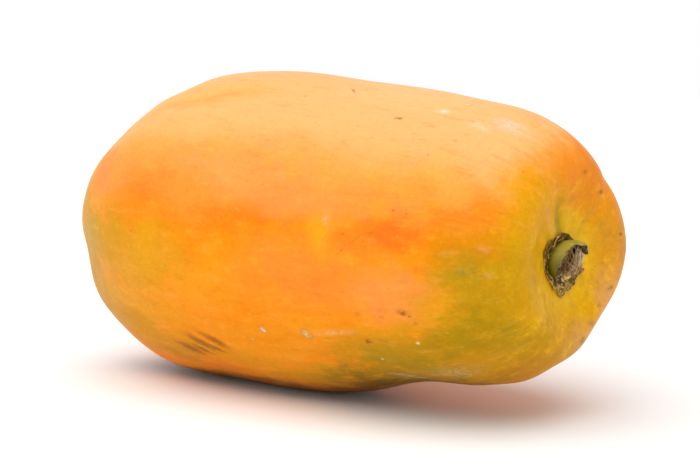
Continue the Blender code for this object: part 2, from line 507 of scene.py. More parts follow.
def makeCrumbs():
    # dry latex and torn flesh heaped on the low side of the break
    shape = crumbShape
    chance = np.random.default_rng(5)
    clearSelection()
    bpy.ops.mesh.primitive_ico_sphere_add(subdivisions=2, radius=mm)
    first = bpy.context.object
    ball = cornersOf(first)
    crumbs = []
    for number in range(shape["count"]):
        crumb = copyOf(first)
        across, up = np.array(shape["middle"]) + chance.normal(0, 0.55, 2) * shape["spread"]
        fromMiddle = hypot((across - shape["middle"][0]) / 2.6, (up - shape["middle"][1]) / 1.3)
        height = 0.6 + 1.7 * bump(fromMiddle, 1.0) * chance.uniform(0.4, 1.0)
        size = shape["size"] * chance.uniform(0.6, 1.35)
        rough = 1 + 0.35 * lumps(ball, 0.0009, 40 + number)
        squeeze = chance.uniform(0.7, 1.2, 3)
        local = ball / mm * rough[:, None] * size * squeeze + (height, across, up)
        putCorners(crumb, np.array(stemMiddle) + local * mm)
        crumbs.append(crumb)
    bpy.data.objects.remove(first, do_unlink=True)
    return joinAll(crumbs, "latex_crumbs")


def makeSapBead():
    # one dried drop of latex that hangs on the calyx's edge
    clearSelection()
    bpy.ops.mesh.primitive_ico_sphere_add(subdivisions=4, radius=mm)
    bead = bpy.context.object
    ball = cornersOf(bead) / mm
    local = ball * (0.95, 3.0, 1.2)
    local[:, 2] *= 1 - 0.35 * ball[:, 1]
    local[:, 2] += 0.55 * ball[:, 1] + 0.25 * ball[:, 1] ** 2
    local *= 1 + 0.20 * lumps(ball * mm, 0.0011, 61)[:, None]
    local += (1.8, 9.3, -4.6)
    putCorners(bead, np.array(stemMiddle) + local * mm)
    return freeze(bead, "sap_bead")


calyxShape = {
    "columns": 220,
    "thickness": 0.20,
    # papery rings round the stub: inner and outer radius, lowest and highest, raggedness, waves, seed
    "rings": (
        (8.3, 11.6, 0.10, 0.75, 0.50, 5, 11),
        (8.1, 9.9, 0.25, 0.90, 0.40, 7, 12),
    ),
    # dry sepals: degrees round the stem, length out from 9 mm, half-width, lift of the tip, seed
    "sepals": (
        (-82, 5.2, 4.0, 0.5, 1), (-52, 3.6, 3.2, 0.7, 2), (-16, 2.9, 3.0, 0.4, 3),
        (28, 4.0, 3.2, 0.5, 4), (62, 3.2, 3.4, 1.1, 5), (92, 1.6, 2.8, 0.4, 6), (140, 1.2, 3.0, 0.4, 7),
        (190, 3.4, 3.6, 0.7, 8), (-124, 3.0, 3.4, 0.6, 9),
    ),
}


def makeCalyxRing(near, far, low, high, ragged, waves, seed):
    rows = 12
    sheet, row, around = addTube(calyxShape["columns"], rows)
    share = row / (rows - 1)
    reach = far + ragged * (1.2 * roundRim(around, 0.35, seed) + 0.8 * roundRim(around, 0.07, seed + 1))
    reach -= 1.5 * bump(turnFrom(around, 128), 38) * (far > 11)
    reach += 2.2 * bump(turnFrom(around, 26), 20) * (far > 11)
    radius = near + (reach - near) * share
    height = low + (high - low) * share ** 1.5
    wavy = 0.22 * np.sin(np.radians(around) * waves + seed) + 0.55 * roundRim(around, 0.20, seed + 2)
    height += share * wavy
    places = atStem(height, radius, around)
    height = np.maximum(height + 0.16 * lumps(places, 0.0010, seed + 3), 0.05)
    putCorners(sheet, atStem(height, radius, around))
    keepValue(sheet, "toEdge", share)
    pick(sheet)
    editAll()
    bpy.ops.mesh.normals_make_consistent()
    leaveEdit()
    modify(sheet, "SOLIDIFY", thickness=calyxShape["thickness"] * mm, offset=0.0)
    return sheet


def makeSepal(degrees, length, half, lift, seed):
    # a pointed dry leaf, wide at the collar, with a sunken middle and curled edges
    clearSelection()
    bpy.ops.mesh.primitive_grid_add(x_subdivisions=26, y_subdivisions=22, size=2)
    leaf = bpy.context.object
    flat = cornersOf(leaf)
    out, side = (flat[:, 0] + 1) / 2, flat[:, 1]
    width = half * np.sqrt(np.clip(1 - out ** 1.5, 0.0006, 1))
    ragged = 1 + 0.22 * lumps(np.stack((out, 0 * out, np.sign(side)), axis=-1), 0.14, seed)
    radius = 8.7 + length * out * (1 - 0.10 * side ** 2)
    aside = side * width * ragged + 0.7 * sin(seed * 2.4) * out ** 2
    height = 0.25 + 0.45 * bump(out - 0.25, 0.35) + lift * out ** 2.2
    height += 0.45 * side ** 2 * (0.3 + out) - 0.15 * bump(side, 0.16)
    around = degrees + np.degrees(aside / radius)
    places = atStem(height, radius, around)
    height += 0.34 * lumps(places, 0.0016, 21 + seed) + 0.15 * lumps(places, 0.0006, 22)
    height = np.maximum(height, 0.06)
    putCorners(leaf, atStem(height, radius, around))
    keepValue(leaf, "toEdge", np.maximum(np.abs(side) ** 2, out ** 3))
    modify(leaf, "SOLIDIFY", thickness=calyxShape["thickness"] * mm * 1.2, offset=0.0)
    return leaf


def makeCalyx():
    sheets = [makeCalyxRing(*ring) for ring in calyxShape["rings"]]
    sheets += [makeSepal(*sepal) for sepal in calyxShape["sepals"]]
    return joinAll(sheets, "dry_calyx_leaves")


class Wire:
    # a shader socket that can be added to, multiplied and so on
    def __init__(self, tree, socket):
        self.tree = tree
        self.socket = socket

    def node(self, kind, settings, values, output=0):
        made = self.tree.nodes.new(kind)
        for name, value in settings.items():
            setattr(made, name, value)
        for name, value in values.items():
            if isinstance(value, Wire):
                self.tree.links.new(value.socket, made.inputs[name])
            else:
                made.inputs[name].default_value = tone(value) if isinstance(value, str) else value
        return Wire(self.tree, made.outputs[output])

    def math(self, operation, first, second=0.0):
        return self.node("ShaderNodeMath", {"operation": operation}, {0: first, 1: second})

    def __add__(self, other):
        return self.math("ADD", self, other)

    def __sub__(self, other):
        return self.math("SUBTRACT", self, other)

    def __rsub__(self, other):
        return self.math("SUBTRACT", other, self)

    def __mul__(self, other):
        return self.math("MULTIPLY", self, other)

    __radd__ = __add__
    __rmul__ = __mul__

    def top(self, other):
        return self.math("MAXIMUM", self, other)

    def fade(self, low, high):
        # 0 at low, 1 at high, eased between; low may be the larger
        ends = {0: self, 1: low, 2: high, 3: 0.0, 4: 1.0}
        return self.node("ShaderNodeMapRange", {"interpolation_type": "SMOOTHSTEP"}, ends)

    def vector(self, operation, other, output=0):
        return self.node("ShaderNodeVectorMath", {"operation": operation}, {0: self, 1: other}, output)

    def length(self):
        return self.vector("LENGTH", (0, 0, 0), "Value")

    def dot(self, direction):
        return self.vector("DOT_PRODUCT", direction, "Value")

    def cloud(self, size, detail=2.0, rough=0.5, output=0, stretch=1.0, seed=0.0):
        # noise from 0 to 1 with lumps of that size, drawn out along the fruit by stretch
        scale = (1 / (size * stretch), 1 / size, 1 / size)
        laid = {"Vector": self, "Location": (seed, seed, seed), "Scale": scale}
        return self.node("ShaderNodeMapping", {"vector_type": "POINT"}, laid).noise(detail, rough, output)

    def noise(self, detail, rough, output=0):
        values = {"Vector": self, "Scale": 1.0, "Detail": detail, "Roughness": rough}
        return self.node("ShaderNodeTexNoise", {}, values, output)

    def colors(self, low, high):
        # from one colour to another as this mask goes from 0 to 1
        return self.node("ShaderNodeMix", {"data_type": "RGBA"}, {0: self, 6: low, 7: high}, 2)

    def cover(self, mask, color):
        # this colour, covered by another where the mask is 1
        return mask.colors(self, color)

    def attribute(self, name):
        # a value kept on the mesh's corners
        return self.node("ShaderNodeAttribute", {"attribute_name": name}, {}, 2)

    def part(self, axis):
        # one coordinate of a vector: 0, 1 or 2
        return self.node("ShaderNodeSeparateXYZ", {}, {0: self}, axis)

    def facing(self, degrees):
        # how far this side of the fruit looks that way round
        aside = self.vector("SUBTRACT", (0, 0, axisHeight)).vector("MULTIPLY", (0, 1, 1))
        return self.math("DIVIDE", aside.dot(outwards(degrees)), aside.length().top(tipSpan))


def tone(text):
    # a colour as it is seen, written as hex, to the linear one that a shader takes
    channels = [int(text[place:place + 2], 16) / 255 for place in (1, 3, 5)]
    linear = [c / 12.92 if c < 0.04045 else ((c + 0.055) / 1.055) ** 2.4 for c in channels]
    return (*linear, 1.0)


def newMaterial(name):
    material = bpy.data.materials.new(name)
    material.use_nodes = True
    tree = material.node_tree
    return material, Wire(tree, tree.nodes.new("ShaderNodeTexCoord").outputs["Object"])


def feed(material, values):
    # puts wires and plain values into the main shader
    tree = material.node_tree
    for name, value in values.items():
        socket = tree.nodes["Principled BSDF"].inputs[name]
        if isinstance(value, Wire):
            tree.links.new(value.socket, socket)
        else:
            socket.default_value = value
    return material


def surface(material, color, finish):
    dull = {"Roughness": finish["roughness"], "Specular IOR Level": finish["specular"]}
    return feed(material, {"Base Color": color, **dull})


def spotFrame(x, degrees, turn):
    # middle of a spot on the skin, and the turn that lays X along it and Z outwards
    out = outwards(degrees)
    core = Vector((x * mm, 0, axisHeight))
    middle = skin.ray_cast(core + out * 0.2, -out)[1]
    along = Vector((1, 0, 0))
    axes = Matrix((along, out.cross(along), out)).transposed()
    return middle, (axes @ Matrix.Rotation(radians(turn), 3, "Z")).to_euler()


def spotAt(place, middle, halves, turned=(0, 0, 0)):
    # 1 in the middle of an egg-shaped spot in the fruit's own frame, falling to 0 at its edge
    local = place.node(
        "ShaderNodeMapping",
        {"vector_type": "TEXTURE"},
        {"Vector": place, "Location": middle, "Rotation": turned, "Scale": halves},
    )
    return local.node("ShaderNodeTexGradient", {"gradient_type": "SPHERICAL"}, {"Vector": local}, 1)


def spot(place, x, degrees, along, across, deep, turn=0):
    # the same on the skin, with half-lengths in mm
    middle, turned = spotFrame(x, degrees, turn)
    return spotAt(place, middle, (along * mm, across * mm, deep), turned)


skinFinish = {
    "body": "#F18C02",
    "deep": "#EA7000",
    "light": "#F2A024",
    # top side painted paler: partly the skin's own peach tone, partly painted sheen of the light from
    # above
    "peachAndSheen": "#F5B06E",
    "paintedSheenAt": 79,  # degrees round the fruit of the palest side, where the painted sheen is strongest
    "paintedShade": "#6E4008",  # painted contact shade on the underside, where the fruit rests on the floor
    "paintedShadeAt": -78,
    "mustard": "#DA9C04",  # round the stem
    "cushion": "#E6B20C",  # yellow swelling close round the calyx
    "olive": "#A67A10",
    "lemon": "#F2CE20",
    # painted shade in the fold valleys round the stem, and a painted highlight on one fold's crest
    "valleyShade": "#86801C",
    "ridgeHighlight": "#DCA25C",
    "blossomScar": "#6E4418",
    "scar": "#6A3008",
    "scratch": "#82560A",
    "scratchRim": "#A8581C",
    "whiteSpeck": "#F4DCB8",
    "whiteSpeckRim": "#A89048",
    "pore": "#A86214",
    "streakDark": "#CE6E04",
    "streakPale": "#FFC468",
    "grainDark": "#B85C04",
    "grainPale": "#FFCC70",
    "roughness": 0.43,
    "specular": 0.06,
}

# broad patches: x, degrees round, half-length, half-width in mm, colour, strength and any turn
skinPatches = (
    # the pale patch on top at 52 mm, 84 degrees is partly painted sheen, like the peach side
    (0, 22, 120, 12, "#F2985A", 0.45), (52, 84, 44, 20, "#F6BC80", 0.55),
    (-44, 64, 34, 9, "#F2AA54", 0.6), (-40, 60, 30, 4, "#F09A44", 0.5, 9),
    (4, -34, 62, 13, "#E4930C", 0.5), (-70, 52, 20, 4, "#F0A04C", 0.5, 12),
    (-86, 28, 16, 10, "#F4803C", 0.6), (-48, 14, 14, 12, "#F07200", 0.5, 20),
    (-4, 10, 34, 8, "#EF7806", 0.6), (-10, 27, 30, 8, "#F29A50", 0.55), (-20, 20, 18, 7, "#F28820", 0.5),
    (-22, -11, 28, 11, "#F09E16", 0.6), (0, -43, 30, 7, "#EA9A12", 0.5),
    (-50, -4, 26, 17, "#D0940A", 0.75), (-68, 11, 12, 8, "#D8860E", 0.65),
    (-68, -10, 12, 8, "#CC9010", 0.5), (34, 20, 26, 10, "#F28E40", 0.5),
    (78, 9, 20, 8, "#EE6A18", 0.8, 10), (104, 22, 10, 10, "#EC7210", 0.65),
    (40, -6, 34, 14, "#F4883A", 0.5), (80, -14, 20, 10, "#F09650", 0.55),
    (-43, -2, 6, 12, "#E8A408", 0.35, 10), (47, 8, 5, 9, "#EAA410", 0.3),
    (-58, -10, 16, 10, "#DE980C", 0.65), (-106, 2, 20, 26, "#D09220", 0.9),
    (-90, -4, 16, 13, "#BE940E", 0.95, 20), (-70, 0, 11, 15, "#CE9206", 0.85),
    (-94, -30, 26, 20, "#BC8C1C", 0.95), (-66, -28, 30, 16, "#D8960E", 0.8),
    (-66, -42, 30, 10, "#C48A0C", 0.9), (-30, -46, 44, 9, "#D68E06", 0.85),
    (72, -27, 16, 5, "#E2A414", 0.5), (108, -6, 15, 20, "#C89204", 0.9),
    (103, -30, 20, 20, "#BE8E02", 0.95), (72, -41, 30, 13, "#B48A04", 0.95),
    (98, -56, 22, 12, "#B27C0A", 0.9), (102, -78, 26, 18, "#BC8414", 0.75),
    (38, -56, 50, 8, "#C8920A", 0.85), (-44, -49, 16, 7, "#B67C08", 0.6),
    # the dark olive patch low on the underside at 62 mm is painted contact shade
    (34, -54, 10, 5, "#D8940A", 0.6), (62, -66, 44, 14, "#6E5400", 0.95),
    (-20, -66, 50, 10, "#CC8404", 0.8), (104, 14, 6, 5, "#F29A30", 0.45),
    (104, 6, 13, 10, "#DC8202", 0.75), (95, -20, 9, 7, "#EA9C10", 0.65),
    (104, -52, 12, 9, "#CE940E", 0.6), (100, 30, 8, 6, "#F4A848", 0.5),
    # the back of the fruit
    (60, 165, 34, 16, "#F07606", 0.55), (-50, 172, 30, 18, "#EFA020", 0.45),
    (100, -160, 24, 22, "#BE8E06", 0.6), (20, -150, 40, 16, "#E08A08", 0.6),
    (-100, 165, 20, 24, "#CE9A2C", 0.7), (-20, 130, 36, 12, "#F4A04C", 0.45),
)

# green flecks, as above
greenPatches = (
    (104, -6, 9, 9, "#A88A10", 0.5), (107, -8, 4, 2.2, "#6E7838", 0.4, -30),
    (101, -33, 15, 10, "#987E00", 0.6, 10), (73, -46, 20, 9, "#967C04", 0.6),
    (110, -48, 12, 8, "#A08002", 0.45), (56, -56, 24, 6, "#846C02", 0.6),
    (-96, -2, 12, 16, "#B8942C", 0.35), (48, 6, 4, 8, "#C89C10", 0.4),
    (104, -158, 12, 14, "#9A840C", 0.55),
)

# pale scuffs, as above
palePatches = (
    (101, 76, 8, 6, "#F0CCC0", 0.6, 20), (92, 66, 6, 3, "#F0D8B4", 0.55), (72, 71, 4, 2, "#FAEEDC", 0.6),
    (45, -30, 12, 1.8, "#F2B478", 0.62, 5), (66, -58, 9, 2.4, "#D8CC98", 0.5, -22),
    (88, -55, 13, 5, "#D4C890", 0.34), (104, 84, 7, 4, "#DCB040", 0.45), (47, 9, 5, 10, "#E8AC20", 0.55),
    (48.5, 13, 2.0, 2.6, "#F4B878", 0.6), (111, 8, 2.0, 1.5, "#E0A070", 0.45),
    (113, -4, 2.2, 1.5, "#DCA478", 0.45), (10, 150, 9, 3, "#F2C8A0", 0.6, 15),
)

# patches on the stem's end: across and up in mm, half-widths, colour, strength
endPatches = (
    (-33, 56, 14, 22, "#CE9A00", 0.7), (-44, 52, 7, 20, "#A08800", 0.85),
    (-20, 82, 20, 10, "#DE980C", 0.6), (8, 102, 20, 9, "#EF8410", 0.75),
    (-50, 82, 10, 10, "#EC7204", 0.75), (30, 66, 12, 26, "#D6901E", 0.8),
    # the yellow patch at -20 across and 50 up is a painted brightening of a slope that faces away from
    # the light
    (17, 97, 13, 14, "#DC7A14", 0.55), (-20, 50, 7, 15, "#F2B81C", 0.5), (40, 60, 9, 32, "#C48840", 0.85),
    (18, 28, 26, 13, "#D6A068", 0.9), (26, 46, 9, 12, "#DCA064", 0.7), (-6, 22, 28, 8, "#C08A10", 0.6),
    (-34, 30, 20, 12, "#B08C04", 0.85),
)

# small marks: x, degrees round, half-length and half-width in mm, turn, strength
brownMarks = (
    (25, 75.5, 4.6, 0.9, -38, 0.8), (59, 60, 2.4, 1.2, 10, 1.0), (75, 58, 2.6, 1.0, 0, 0.45),
    (72, 52, 1.4, 0.9, 30, 0.5), (89, 53, 1.6, 1.1, 0, 0.45), (91, 58, 1.2, 0.9, 0, 0.45),
    (88, 68, 3.2, 0.9, -30, 0.5), (47, 27, 0.7, 1.9, 0, 0.5), (77, 24, 1.2, 0.7, 20, 0.5),
    (76.8, 18.6, 1.1, 0.7, 0, 0.6), (80.4, -19.4, 2.8, 1.5, -10, 0.9), (83.5, -21, 1.6, 1.0, 20, 0.6),
    (61, -21, 2.6, 1.5, 25, 0.5), (71, -21.4, 1.3, 1.0, 0, 0.5), (85, -24.2, 1.6, 0.9, 20, 0.5),
    (61, -33.2, 2.0, 1.5, 20, 1.1), (26, -17, 1.0, 0.9, 0, 0.4), (56.7, 8.4, 0.9, 0.7, 0, 0.5),
    (88, 11, 1.0, 0.8, 0, 0.5), (12, 130, 2.6, 1.0, 25, 0.6), (-50, 150, 1.6, 1.3, 0, 0.7),
    (64, 168, 3.0, 1.0, -20, 0.7), (90, -140, 2.2, 1.4, 10, 0.7), (-20, -160, 2.2, 1.0, -35, 0.6),
    (36, 190, 1.3, 1.0, 0, 0.6), (112, 42, 1.2, 1.0, 0, 0.4),
)
# specks on the stem's end: across and up in mm, half-widths, strength
endSpecks = (
    (32, 73, 1.6, 1.1, 1.0), (19, 90.5, 2.4, 1.1, 0.9), (27, 51.5, 2.4, 1.4, 0.8),
    (14, 39, 3.4, 1.8, 0.7), (7, 33.5, 3.6, 1.6, 0.8), (13, 79, 1.6, 0.9, 0.7), (7, 99, 2.2, 1.3, 0.7),
    (19, 45.5, 2.2, 1.0, 0.6), (13.5, 54.5, 1.0, 1.0, 0.6), (24, 62, 1.4, 1.0, 0.5),
    (-8, 30, 2.0, 1.0, 0.5),
)
scratchMarks = (
    (-37, -43.8, 8.0, 2.6, -26, 1), (-28, -39.5, 9.0, 2.6, -29, 1), (-19.5, -37.5, 8.5, 2.4, -30, 1),
    (-43, -42, 4.0, 1.8, -24, 0.6), (-30, -43.4, 6.0, 1.4, -28, 1), (-22, -41.4, 6.0, 1.3, -28, 1),
    (56, 2.4, 5.4, 0.5, 42, 0.44), (62.6, 7.2, 4.8, 0.5, 35, 0.44), (69.6, 10.2, 4.8, 0.5, 14, 0.42),
    (40, 160, 6.0, 1.1, 18, 1), (47, 165, 4.5, 1.0, 22, 1),
)
whiteMarks = (
    (11.4, -30.4, 1.5, 2.4, 26, 1), (2.8, -35.2, 1.1, 1.0, 0, 1), (32.8, -30.9, 2.8, 3.2, 30, 0.85),
    (82.6, -33.8, 1.3, 1.1, 0, 0.95), (61.7, -43.9, 1.2, 0.9, -30, 0.95), (77, 81, 2.0, 1.4, 0, 1),
    (-30, 140, 1.2, 1.7, 0, 1), (70, 150, 1.4, 1.4, 0, 1),
)
patchReach = 1.6  # a patch fades out this much past its half-length
patchDeep = 0.045  # and this many metres above and below the skin
markReach = 1.4
markDeep = 0.008


def paintPatches(color, warped, broken, patches):
    for x, degrees, along, across, patchColor, strength, *turn in patches:
        closeness = spot(warped, x, degrees, along * patchReach, across * patchReach, patchDeep, *turn)
        color = color.cover((closeness * broken).fade(0.06, 0.85) * strength, patchColor)
    return color


def paintEnd(color, place, warped, broken):
    # mustard stem end with a yellow cushion close round the calyx
    onEnd = warped.part(0).fade(0.092, 0.114)
    whole = spotAt(warped, (0.124, -0.012, 0.060), (0.032, 0.062, 0.056)) * broken
    color = color.cover(whole.fade(0.08, 0.50), skinFinish["mustard"])
    for across, up, halfAcross, halfUp, patchColor, strength in endPatches:
        halves = (0.050, halfAcross * patchReach * mm, halfUp * patchReach * mm)
        closeness = spotAt(warped, (0.118, across * mm, up * mm), halves) * broken
        color = color.cover(closeness.fade(0.05, 0.90) * onEnd * strength, patchColor)
    fromSeat = place.vector("SUBTRACT", tuple(seat)).vector("MULTIPLY", (0.25, 1, 1))
    fromStem = fromSeat.length()
    cushion = (fromStem * (1.5 - broken * 0.5)).fade(0.0245, 0.0150) * 0.70
    return color.cover(cushion * onEnd, skinFinish["cushion"]), onEnd, fromStem


def mottleEnd(color, onEnd, fromStem, blotch, finer):
    # olive and lemon flecks, thickest close round the stem
    nearStem = fromStem.fade(0.046, 0.014) * 0.7 + 0.3
    olive = (blotch * 0.5 + finer * 0.5).fade(0.50, 0.66) * nearStem * onEnd
    lemon = (blotch * 0.6 + finer * 0.4).fade(0.49, 0.36) * nearStem * onEnd
    return color.cover(olive * 0.50, skinFinish["olive"]).cover(lemon * 0.45, skinFinish["lemon"])


# painted shade along the fold valleys: degrees round the stem, from and to this far out in mm, half-width
deepestShadedValley = (74, 8, 34, 4.2)
# fainter ones, each after its strength
shadedValleys = (
    (0.45, 42, 11, 30, 3.4), (0.3, 134, 10, 24, 3.4), (0.45, 164, 9, 22, 1.6),
    (0.45, -150, 9, 20, 1.8), (0.4, -104, 9, 24, 2.4),
)
# a painted highlight along one fold's crest, listed as above
highlitRidge = (53, 13, 36, 2.0)


def paintedFoldLight(place, fromStem, onEnd, degrees, near, far, width):
    # a soft line that runs out from the stem along one of its folds, used for painted valley shade and a
    # painted crest highlight
    fromSeat = place.vector("SUBTRACT", tuple(seat))
    side = fromSeat.dot(outwards(degrees - 90) * -1)
    out = fromSeat.dot(outwards(degrees))
    line = side.math("ABSOLUTE", side).fade(width * mm, 0.0)
    return line * out.fade(near * mm, (near + 5) * mm) * fromStem.fade(far * mm, far * 0.5 * mm) * onEnd


def marks(place, places):
    # the nearest of several marks: its strength in the middle, 0 at its edge
    nearest = None
    for x, degrees, along, across, turn, strength in places:
        closeness = spot(place, x, degrees, along * markReach, across * markReach, markDeep, turn)
        closeness = closeness * strength
        nearest = closeness if nearest is None else nearest.top(closeness)
    return nearest


def skinMaterial():
    finish = skinFinish
    material, place = newMaterial("ripe papaya skin")
    drift = place.cloud(0.030, 2.0, 0.5, output=1, stretch=1.3).vector("SUBTRACT", (0.5, 0.5, 0.5))
    fine = place.cloud(0.007, 5.0, 0.68, output=1, stretch=1.8).vector("SUBTRACT", (0.5, 0.5, 0.5))
    drift = drift.vector("MULTIPLY", (0.026, 0.022, 0.022))
    fine = fine.vector("MULTIPLY", (0.016, 0.011, 0.011))
    warped = place.vector("ADD", drift).vector("ADD", fine)
    frayed = place.vector("ADD", fine.vector("MULTIPLY", (0.20, 0.22, 0.22)))

    # fine streaks that run the length of the fruit and close in on both its ends
    aim = frayed.vector("SUBTRACT", (0, 0, axisHeight)).vector("MULTIPLY", (0, 1, 1))
    aim = aim.vector("NORMALIZE", (0, 0, 0))
    lengthways = aim.vector("MULTIPLY", (0, 20, 20)).vector("ADD", frayed.vector("MULTIPLY", (75, 0, 0)))
    streak = lengthways.noise(4.0, 0.62)
    blotch = place.cloud(0.0060, 5.0, 0.68, stretch=1.5, seed=3.0)
    swirl = place.cloud(0.018, 4.0, 0.60, stretch=1.7, seed=7.0)
    ragged = (blotch - 0.5) * 0.75 + (streak - 0.5) * 0.20
    grain = place.cloud(0.0014, 5.0, 0.74, stretch=1.5, seed=5.0)

    # orange body with a soft marbling, redder and yellower by turns
    redder = (swirl * 0.5 + blotch * 0.5).fade(0.50, 0.68)
    color = (redder * 0.75).colors(finish["body"], finish["deep"])
    color = color.cover((swirl * 0.4 + blotch * 0.6).fade(0.50, 0.36) * 0.55, finish["light"])

    offEnd = warped.part(0).fade(0.126, 0.106)
    # the top painted paler: the skin's peach tone plus painted sheen of the light from above
    peachAndSheen = (warped.facing(finish["paintedSheenAt"]) + ragged * 0.12).fade(0.54, 0.98) * offEnd
    color = color.cover(peachAndSheen, finish["peachAndSheen"])
    broken = ragged * 2.1 + 1.0
    color, onEnd, fromStem = paintEnd(color, place, warped, broken)
    color = paintPatches(color, warped, broken, skinPatches)
    # painted contact shade along the underside, from the middle to the blossom end
    paintedShade = (warped.facing(finish["paintedShadeAt"]) + ragged * 0.05).fade(0.950, 1.0)
    color = color.cover(paintedShade * warped.part(0).fade(0.070, 0.030) * 0.9, finish["paintedShade"])
    color = paintPatches(color, warped, ragged * 4.5 + 0.9, greenPatches)
    color = paintPatches(color, frayed, grain * 3.6 + ragged * 2.0 - 1.2, palePatches)

    finer = place.cloud(0.0032, 4.0, 0.66, seed=11.0)
    color = mottleEnd(color, onEnd, fromStem, blotch, finer)
    # darker olive in the fold valleys is painted shade; the pale line on one crest is a painted highlight
    valleyShade = paintedFoldLight(frayed, fromStem, onEnd, *deepestShadedValley)
    for strength, *fold in shadedValleys:
        valleyShade = valleyShade.top(paintedFoldLight(frayed, fromStem, onEnd, *fold) * strength)
    color = color.cover(valleyShade * 0.60, finish["valleyShade"])
    ridgeHighlight = paintedFoldLight(frayed, fromStem, onEnd, *highlitRidge)
    color = color.cover(ridgeHighlight * 0.6, finish["ridgeHighlight"])

    # streaks and grain deepen and lighten the colour a little
    color = color.cover(streak.fade(0.52, 0.76) * 0.26, finish["streakDark"])
    color = color.cover(streak.fade(0.48, 0.26) * 0.12, finish["streakPale"])
    color = color.cover(grain.fade(0.52, 0.76) * 0.32, finish["grainDark"])
    color = color.cover(grain.fade(0.46, 0.24) * 0.20, finish["grainPale"])

    tip = spotAt(frayed, blossomTip, (0.016, 0.0075, 0.0075))
    color = color.cover((tip * (grain + 0.7)).fade(0.15, 0.75) * 0.75, finish["blossomScar"])

    # small scars, scratches and white specks
    spots = marks(frayed, brownMarks)
    for across, up, halfAcross, halfUp, strength in endSpecks:
        halves = (0.012, halfAcross * markReach * mm, halfUp * markReach * mm)
        spots = spots.top(spotAt(frayed, (0.120, across * mm, up * mm), halves) * strength)
    color = color.cover(spots.fade(0.0, 0.6) * 0.18, finish["scar"])
    color = color.cover((spots * (grain * 3.4 - 0.9)).fade(0.25, 0.80) * 0.58, finish["scar"])
    scratches = marks(frayed, scratchMarks)
    color = color.cover((scratches * (grain + 0.5)).fade(0.0, 0.7) * 0.50, finish["scratchRim"])
    color = color.cover((scratches * (grain * 2.0 - 0.1)).fade(0.20, 0.85) * 0.62, finish["scratch"])
    whiteSpecks = marks(frayed, whiteMarks)
    color = color.cover(whiteSpecks.fade(0.0, 0.45) * 0.40, finish["whiteSpeckRim"])
    color = color.cover((whiteSpecks * (grain * 3.0 - 0.5)).fade(0.35, 0.90) * 0.60, finish["whiteSpeck"])
    cells = {"Vector": place, "Scale": 1 / 0.0085}
    pores = place.node("ShaderNodeTexVoronoi", {}, cells)
    chosen = place.node("ShaderNodeTexVoronoi", {}, cells, 1).part(0).fade(0.45, 0.55)
    pore = pores.fade(0.080, 0.030) * chosen
    color = color.cover(pore * 0.45, finish["pore"])

    wax = place.cloud(0.014, 3.0, 0.6, seed=8.0)
    roughness = wax.fade(0.3, 0.7) * 0.10 + grain.fade(0.3, 0.8) * 0.06 + (finish["roughness"] - 0.08)
    dimples = grain * 0.5 + place.cloud(0.0045, 3.0, 0.55, seed=9.0) * 1.2 - pore * 0.6
    relief = place.node("ShaderNodeBump", {}, {"Height": dimples, "Strength": 0.45, "Distance": 0.00030})
    surface(material, color, {**finish, "roughness": roughness})
    feed(material, {"Normal": relief, "Subsurface Weight": 0.08, "Subsurface Scale": 1.0})
    return feed(material, {"Subsurface Radius": (0.003, 0.0012, 0.0005)})


stemFinish = {
    # the stub is painted lighter on top (painted highlight) and darker at its foot (painted shade against
    # the calyx)
    "crestHighlight": "#A69A38",
    "green": "#645C02",
    "footShadeAndMottle": "#3C3600",
    "torn": "#7E5628",
    "tornDark": "#301A06",
    "tornPale": "#C09C64",
    "tornShade": "#26160E",
    "tornPink": "#A87E60",
    "driedEnd": "#4E3510",
    "roughness": 0.42,
    "specular": 0.25,
}


def stemMaterial():
    finish = stemFinish
    material, place = newMaterial("green papaya stem")
    inside = place.attribute("inside")
    dried = place.attribute("dried")
    mottle = place.cloud(0.0020, 4.0, 0.6, stretch=3.0)
    # green below to lighter on top is a painted highlight; dark at the foot is painted shade where the
    # stub meets the calyx; the mottling after it is the stub's own
    color = place.part(2).fade(seat.z - 0.001, seat.z + 0.009).colors(finish["green"], finish["crestHighlight"])
    color = color.cover(place.part(0).fade(seat.x + 0.0034, seat.x + 0.0002) * 0.85, finish["footShadeAndMottle"])
    color = color.cover(mottle.fade(0.50, 0.75) * 0.45, finish["footShadeAndMottle"])
    patchy = place.cloud(0.0017, 3.0, 0.6, seed=6.0)
    end = patchy.fade(0.46, 0.58).colors(finish["driedEnd"], finish["tornShade"])
    end = end.cover(patchy.fade(0.46, 0.36) * 0.7, finish["tornPink"])
    color = color.cover((dried + mottle * 0.5).fade(0.85, 1.15), end)
    frayed = place.cloud(0.0007, 4.0, 0.7, stretch=4.0, seed=2.0)
    flesh = frayed.fade(0.30, 0.62).colors(finish["tornDark"], finish["torn"])
    flesh = flesh.cover(frayed.fade(0.60, 0.74), finish["tornPale"])
    flesh = flesh.cover(patchy.fade(0.50, 0.62) * 0.75, finish["tornShade"])
    flesh = flesh.cover(patchy.fade(0.47, 0.36) * 0.60, finish["tornPink"])
    roughness = inside.top(dried) * 0.35 + finish["roughness"]
    return surface(material, inside.colors(color, flesh), {**finish, "roughness": roughness})


pithFinish = {
    # dark in the holes and beside the green wall: painted shade
    "holeShade": "#2C1A06",
    "flesh": "#86602E",
    "pale": "#C8A468",
    "roughness": 0.8,
    "specular": 0.15,
}


def wallShadeSide(place):
    # the side of the break next to the green wall, painted darker there as the wall's shade
    return place.part(1).fade(stemMiddle.y - 0.0008, stemMiddle.y - 0.0040)


